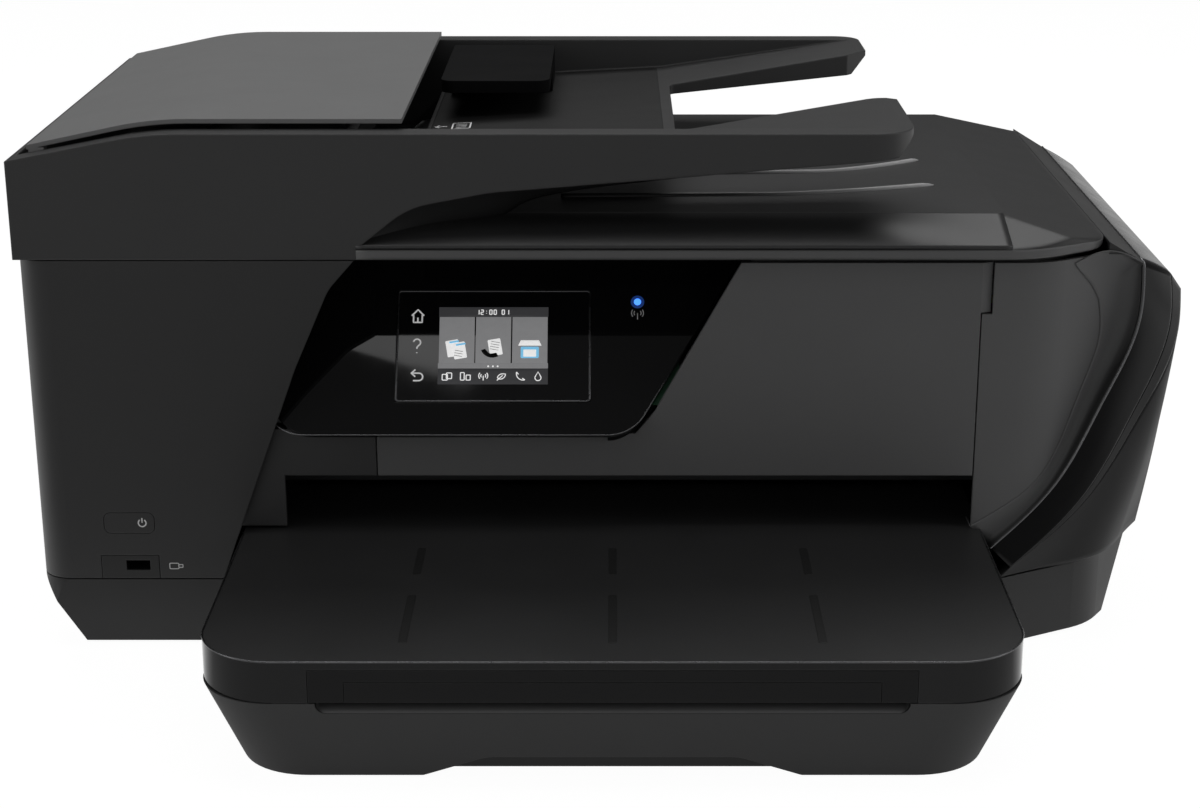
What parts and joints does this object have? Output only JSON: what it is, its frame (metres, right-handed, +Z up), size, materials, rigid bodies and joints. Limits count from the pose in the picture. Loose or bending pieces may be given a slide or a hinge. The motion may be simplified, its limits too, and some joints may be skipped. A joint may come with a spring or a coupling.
{
  "type": "inkjet printer",
  "caption": "Wide multifunction inkjet printer with a paper tray, a sloped touch panel, a scanner lid with a sheet feeder and a moving print carriage.",
  "frame": {"origin": "on the table, under the middle of the printer's outline with its tray", "axes": "+X to the right seen from the front, +Y to the back, +Z up"},
  "size_m": [0.613, 0.483, 0.287],
  "materials": {
    "shell": "satin",
    "gloss": "gloss",
    "inner": "matte",
    "glass": "clear",
    "window": "clear",
    "screen": "gloss",
    "light": "gloss",
    "pad": "matte",
    "steel": "brushed",
    "rubber": "matte",
    "roller": "matte",
    "board": "satin",
    "socket": "matte",
    "supply": "matte",
    "ink_black": "gloss",
    "ink_cyan": "gloss",
    "ink_magenta": "gloss",
    "ink_yellow": "gloss"
  },
  "bodies": {
    "printer": {"base_pan": "shell", "feet": "rubber", "left_cover": "shell", "front_pillar": "shell", "right_panel": "shell", "control_panel": "gloss", "touch_glass": "glass", "screen_module": "screen", "status_light": "light", "panel_boards": "board", "right_cover": "shell", "right_corner": "shell", "trim_strip": "gloss", "rear_cover": "shell", "mains_inlet": "socket", "data_sockets": "socket", "scanner_deck": "shell", "scanner_glass": "window", "scanner_tub": "inner", "guide_rods": "steel", "hinge_pins": "steel", "engine_deck": "inner", "platen": "inner", "service_station": "inner", "chassis": "steel", "carriage_rail": "steel", "drive_belts": "rubber", "drive_motors": "steel", "main_board": "board", "power_supply": "supply"},
    "tray": {"paper_tray": "shell", "output_cover": "gloss"},
    "extension": {"output_extension": "shell"},
    "stop": {"extension_stop": "shell"},
    "guide_left": {"width_guide_left": "inner"},
    "guide_right": {"width_guide_right": "inner"},
    "guide_end": {"length_guide": "inner"},
    "key": {"power_key": "shell"},
    "door": {"front_door": "shell"},
    "rear": {"rear_door": "shell"},
    "scanner": {"scan_bar": "inner"},
    "lid": {"lid_panel": "shell", "lid_pad": "pad", "feeder_body": "shell"},
    "cover": {"feeder_cover": "shell"},
    "pick": {"feeder_pick_roller": "roller"},
    "drive": {"feeder_drive_roller": "roller"},
    "sheet_guide": {"feeder_guide": "shell"},
    "feed": {"feed_roller": "roller"},
    "eject": {"eject_roller": "roller"},
    "pinch": {"pinch_rollers": "inner"},
    "spur": {"spur_rollers": "steel"},
    "motor_pulley": {"feed_motor_pulley": "inner"},
    "belt_pulley": {"drive_pulley": "inner"},
    "belt_idler": {"idler_pulley": "inner"},
    "carriage": {"print_carriage": "inner", "ink_black": "ink_black", "ink_cyan": "ink_cyan", "ink_magenta": "ink_magenta", "ink_yellow": "ink_yellow"}
  },
  "joints": [
    {"name": "lid_hinge", "type": "hinge", "parent": "printer", "child": "lid", "pos_m": [0, 0.233, 0.222], "axis": [-1, 0, 0], "range_deg": [0, 70]},
    {"name": "feeder_cover_hinge", "type": "hinge", "parent": "lid", "child": "cover", "pos_m": [-0.2935, 0.07575, 0.266], "axis": [0, -1, 0], "range_deg": [0, 75]},
    {"name": "door_hinge", "type": "hinge", "parent": "printer", "child": "door", "pos_m": [0.033, -0.067, 0.1025], "axis": [1, 0, 0], "range_deg": [0, 90]},
    {"name": "rear_door_hinge", "type": "hinge", "parent": "printer", "child": "rear", "pos_m": [0, 0.2355, 0.0655], "axis": [-1, 0, 0], "range_deg": [0, 80]},
    {"name": "tray_slide", "type": "slide", "parent": "printer", "child": "tray", "axis": [0, -1, 0], "range_m": [0, 0.18]},
    {"name": "extension_slide", "type": "slide", "parent": "tray", "child": "extension", "axis": [0, -1, 0], "range_m": [0, 0.11]},
    {"name": "stop_slide", "type": "slide", "parent": "extension", "child": "stop", "axis": [0, -1, 0], "range_m": [0, 0.09]},
    {"name": "width_guide_slide", "type": "slide", "parent": "tray", "child": "guide_left", "axis": [1, 0, 0], "range_m": [0, 0.09]},
    {"name": "width_guide_follow", "type": "slide", "parent": "tray", "child": "guide_right", "axis": [-1, 0, 0], "range_m": [0, 0.09]},
    {"name": "length_guide_slide", "type": "slide", "parent": "tray", "child": "guide_end", "axis": [0, 1, 0], "range_m": [0, 0.1]},
    {"name": "power_key_press", "type": "slide", "parent": "printer", "child": "key", "axis": [0, 1, 0], "range_m": [0, 0.0012], "stiffness_N_per_m": 600},
    {"name": "scan_slide", "type": "slide", "parent": "printer", "child": "scanner", "axis": [1, 0, 0], "range_m": [0, 0.322]},
    {"name": "carriage_slide", "type": "slide", "parent": "printer", "child": "carriage", "axis": [-1, 0, 0], "range_m": [0, 0.355]},
    {"name": "belt_pulley_spin", "type": "hinge", "parent": "printer", "child": "belt_pulley", "pos_m": [0.236, 0.113, 0.15], "axis": [0, 1, 0], "range_deg": [-5, 3200]},
    {"name": "belt_idler_spin", "type": "hinge", "parent": "printer", "child": "belt_idler", "pos_m": [-0.212, 0.113, 0.15], "axis": [0, 1, 0], "range_deg": [-5, 3200]},
    {"name": "feed_spin", "type": "hinge", "parent": "printer", "child": "feed", "pos_m": [0, 0.101, 0.085], "axis": [1, 0, 0], "continuous": true},
    {"name": "eject_spin", "type": "hinge", "parent": "printer", "child": "eject", "pos_m": [0, 0.006, 0.085], "axis": [1, 0, 0], "continuous": true},
    {"name": "motor_pulley_spin", "type": "hinge", "parent": "printer", "child": "motor_pulley", "pos_m": [-0.245, 0.152, 0.085], "axis": [1, 0, 0], "continuous": true},
    {"name": "pinch_spin", "type": "hinge", "parent": "printer", "child": "pinch", "pos_m": [0, 0.101, 0.0959], "axis": [1, 0, 0], "continuous": true},
    {"name": "spur_spin", "type": "hinge", "parent": "printer", "child": "spur", "pos_m": [0, 0.006, 0.0969], "axis": [1, 0, 0], "continuous": true},
    {"name": "feeder_drive_spin", "type": "hinge", "parent": "lid", "child": "drive", "pos_m": [-0.214, 0.07575, 0.254], "axis": [0, 1, 0], "continuous": true},
    {"name": "feeder_pick_spin", "type": "hinge", "parent": "lid", "child": "pick", "pos_m": [-0.142, 0.07575, 0.266], "axis": [0, 1, 0], "continuous": true},
    {"name": "sheet_guide_slide", "type": "slide", "parent": "lid", "child": "sheet_guide", "axis": [0, -1, 0], "range_m": [0, 0.11]}
  ],
  "couplings": [
    {"joint": "width_guide_follow", "follows": "width_guide_slide", "ratio": 1},
    {"joint": "belt_pulley_spin", "follows": "carriage_slide", "rad_per_m": 153.85},
    {"joint": "belt_idler_spin", "follows": "carriage_slide", "rad_per_m": 153.85},
    {"joint": "eject_spin", "follows": "feed_spin", "ratio": 1},
    {"joint": "motor_pulley_spin", "follows": "feed_spin", "ratio": 1},
    {"joint": "pinch_spin", "follows": "feed_spin", "ratio": -2},
    {"joint": "spur_spin", "follows": "feed_spin", "ratio": -1.5556},
    {"joint": "feeder_pick_spin", "follows": "feeder_drive_spin", "ratio": -1.1818}
  ]
}
